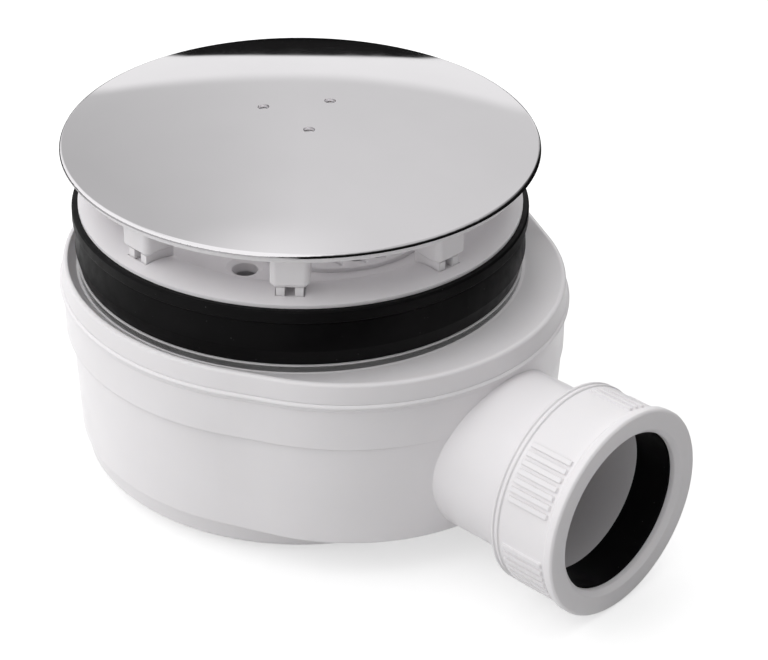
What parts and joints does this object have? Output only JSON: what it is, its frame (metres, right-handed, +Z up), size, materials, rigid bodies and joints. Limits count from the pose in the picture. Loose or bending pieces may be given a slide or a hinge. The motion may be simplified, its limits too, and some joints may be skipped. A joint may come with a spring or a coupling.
{
  "type": "shower trap",
  "caption": "Low shower trap: domed metal cover on legs over a dished flange with black washers, egg-plan white body and a ribbed compression nut on its side outlet.",
  "frame": {"origin": "on the cover's axis, at the underside of the foot", "axes": "+X along the outlet, towards the pipe; +Z up through the cover"},
  "size_m": [0.1695, 0.1262, 0.0946],
  "materials": {
    "white_plastic": "satin moulded",
    "black_rubber": "moulded",
    "clear_plastic": "translucent",
    "polished_steel": "polished"
  },
  "bodies": {
    "root": {"body_shell": "white_plastic", "body_top": "white_plastic", "cover_carrier": "white_plastic", "cover_dome": "polished_steel", "dip_tube": "white_plastic", "dip_tube_seal": "black_rubber", "flange": "white_plastic", "lower_seal": "black_rubber", "outlet_nut": "white_plastic", "outlet_seal": "black_rubber", "slip_ring": "clear_plastic", "strainer": "white_plastic", "trap_cup": "white_plastic", "upper_seal": "black_rubber"}
  },
  "joints": []
}
